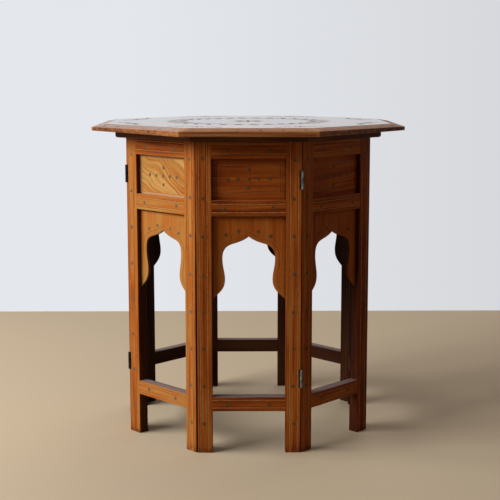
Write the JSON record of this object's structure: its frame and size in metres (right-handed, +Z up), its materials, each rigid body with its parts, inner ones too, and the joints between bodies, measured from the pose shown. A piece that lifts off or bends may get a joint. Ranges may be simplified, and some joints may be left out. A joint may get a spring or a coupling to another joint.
{
  "type": "folding side table",
  "caption": "Octagonal wooden side table: a bevelled lift-off top on a ring of hinged frame-and-panel sides with ogee arches, which folds flat.",
  "frame": {"origin": "on the floor under the middle of the table", "axes": "+Z up, the front side faces -Y, +X to the right seen from the front"},
  "size_m": [0.4686, 0.4686, 0.4803],
  "materials": {
    "frame_wood": "worn satin varnish over orange-brown hardwood",
    "panel_wood": "worn satin varnish over orange-brown hardwood",
    "top_wood": "polished varnish over brown hardwood",
    "hinge_metal": "dull grey plated steel"
  },
  "bodies": {
    "side_1": {"side_1_frame": "frame_wood", "side_1_upper_panel": "panel_wood", "side_1_arch_panel": "panel_wood", "hinge_1_2_upper_pin_leaf": "hinge_metal", "hinge_8_1_upper_socket_leaf": "hinge_metal", "hinge_1_2_lower_pin_leaf": "hinge_metal", "hinge_8_1_lower_socket_leaf": "hinge_metal"},
    "side_2": {"side_2_frame": "frame_wood", "side_2_upper_panel": "panel_wood", "side_2_arch_panel": "panel_wood", "hinge_2_3_upper_pin_leaf": "hinge_metal", "hinge_1_2_upper_socket_leaf": "hinge_metal", "hinge_2_3_lower_pin_leaf": "hinge_metal", "hinge_1_2_lower_socket_leaf": "hinge_metal"},
    "side_3": {"side_3_frame": "frame_wood", "side_3_upper_panel": "panel_wood", "side_3_arch_panel": "panel_wood", "hinge_3_4_upper_pin_leaf": "hinge_metal", "hinge_2_3_upper_socket_leaf": "hinge_metal", "hinge_3_4_lower_pin_leaf": "hinge_metal", "hinge_2_3_lower_socket_leaf": "hinge_metal"},
    "side_4": {"side_4_frame": "frame_wood", "side_4_upper_panel": "panel_wood", "side_4_arch_panel": "panel_wood", "hinge_4_5_upper_pin_leaf": "hinge_metal", "hinge_3_4_upper_socket_leaf": "hinge_metal", "hinge_4_5_lower_pin_leaf": "hinge_metal", "hinge_3_4_lower_socket_leaf": "hinge_metal"},
    "side_5": {"side_5_frame": "frame_wood", "side_5_upper_panel": "panel_wood", "side_5_arch_panel": "panel_wood", "hinge_5_6_upper_pin_leaf": "hinge_metal", "hinge_4_5_upper_socket_leaf": "hinge_metal", "hinge_5_6_lower_pin_leaf": "hinge_metal", "hinge_4_5_lower_socket_leaf": "hinge_metal"},
    "side_6": {"side_6_frame": "frame_wood", "side_6_upper_panel": "panel_wood", "side_6_arch_panel": "panel_wood", "hinge_6_7_upper_pin_leaf": "hinge_metal", "hinge_5_6_upper_socket_leaf": "hinge_metal", "hinge_6_7_lower_pin_leaf": "hinge_metal", "hinge_5_6_lower_socket_leaf": "hinge_metal"},
    "side_7": {"side_7_frame": "frame_wood", "side_7_upper_panel": "panel_wood", "side_7_arch_panel": "panel_wood", "hinge_7_8_upper_pin_leaf": "hinge_metal", "hinge_6_7_upper_socket_leaf": "hinge_metal", "hinge_7_8_lower_pin_leaf": "hinge_metal", "hinge_6_7_lower_socket_leaf": "hinge_metal"},
    "side_8": {"side_8_frame": "frame_wood", "side_8_upper_panel": "panel_wood", "side_8_arch_panel": "panel_wood", "hinge_8_1_upper_pin_leaf": "hinge_metal", "hinge_7_8_upper_socket_leaf": "hinge_metal", "hinge_8_1_lower_pin_leaf": "hinge_metal", "hinge_7_8_lower_socket_leaf": "hinge_metal"},
    "top": {"top_board": "top_wood", "top_moulding": "top_wood"}
  },
  "joints": [
    {"name": "fold", "type": "hinge", "parent": "side_1", "child": "side_2", "pos_m": [-0.06996, -0.16889, 0], "axis": [0, 0, -1], "range_deg": [0, 126]},
    {"name": "corner_2_3", "type": "hinge", "parent": "side_2", "child": "side_3", "pos_m": [-0.18569, -0.07692, 0], "axis": [0, 0, 1], "range_deg": [0, 42.2]},
    {"name": "corner_3_4", "type": "hinge", "parent": "side_3", "child": "side_4", "pos_m": [-0.16889, 0.06996, 0], "axis": [0, 0, -1], "range_deg": [0, 126.2]},
    {"name": "corner_4_5", "type": "hinge", "parent": "side_4", "child": "side_5", "pos_m": [-0.07692, 0.18569, 0], "axis": [0, 0, 1], "range_deg": [0, 210.2]},
    {"name": "corner_8_1", "type": "hinge", "parent": "side_1", "child": "side_8", "pos_m": [0.07692, -0.18569, 0], "axis": [0, 0, -1], "range_deg": [0, 210.2]},
    {"name": "corner_7_8", "type": "hinge", "parent": "side_8", "child": "side_7", "pos_m": [0.16889, -0.06996, 0], "axis": [0, 0, 1], "range_deg": [0, 126.2]},
    {"name": "corner_6_7", "type": "hinge", "parent": "side_7", "child": "side_6", "pos_m": [0.18569, 0.07692, 0], "axis": [0, 0, -1], "range_deg": [0, 42.2]},
    {"name": "top_lift", "type": "slide", "parent": "side_1", "child": "top", "axis": [0, 0, 1], "range_m": [0, 0.1]}
  ],
  "couplings": [
    {"joint": "corner_2_3", "follows": "fold", "ratio": 0.33333},
    {"joint": "corner_3_4", "follows": "fold", "ratio": 1},
    {"joint": "corner_4_5", "follows": "fold", "ratio": 1.6667},
    {"joint": "corner_8_1", "follows": "fold", "ratio": 1.6667},
    {"joint": "corner_7_8", "follows": "fold", "ratio": 1},
    {"joint": "corner_6_7", "follows": "fold", "ratio": 0.33333}
  ]
}
